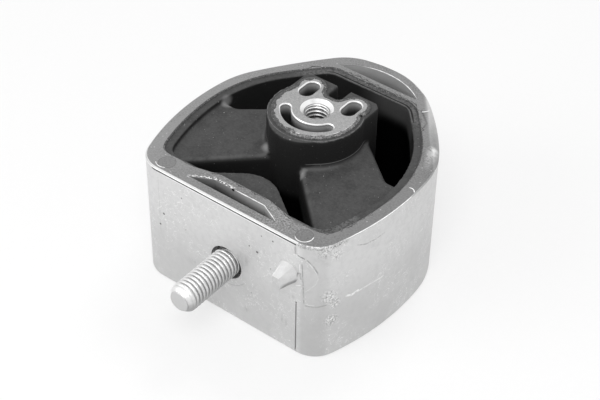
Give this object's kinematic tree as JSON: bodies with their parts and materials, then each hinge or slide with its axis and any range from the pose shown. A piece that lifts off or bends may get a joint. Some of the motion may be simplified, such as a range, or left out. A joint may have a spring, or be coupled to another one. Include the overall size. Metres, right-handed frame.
{
  "type": "transmission mount",
  "caption": "Cast aluminium ring-shaped mount with a moulded rubber spring that carries a threaded central core, and a steel stud in its flat front.",
  "frame": {"origin": "on the axis of the core's thread, level with the housing's upper face", "axes": "+Z along the thread towards the raised end of the core, -Y along the stud away from the housing, +X across the mount, on the lug's side"},
  "size_m": [0.0846, 0.1118, 0.0558],
  "materials": {
    "cast_housing": "die-cast, tumbled",
    "moulded_rubber": "matt, moulded",
    "cast_core": "die-cast, satin",
    "plated_steel": "zinc-plated"
  },
  "bodies": {
    "root": {"housing": "cast_housing", "rubber_spring": "moulded_rubber", "core": "cast_core", "stud": "plated_steel"}
  },
  "joints": []
}
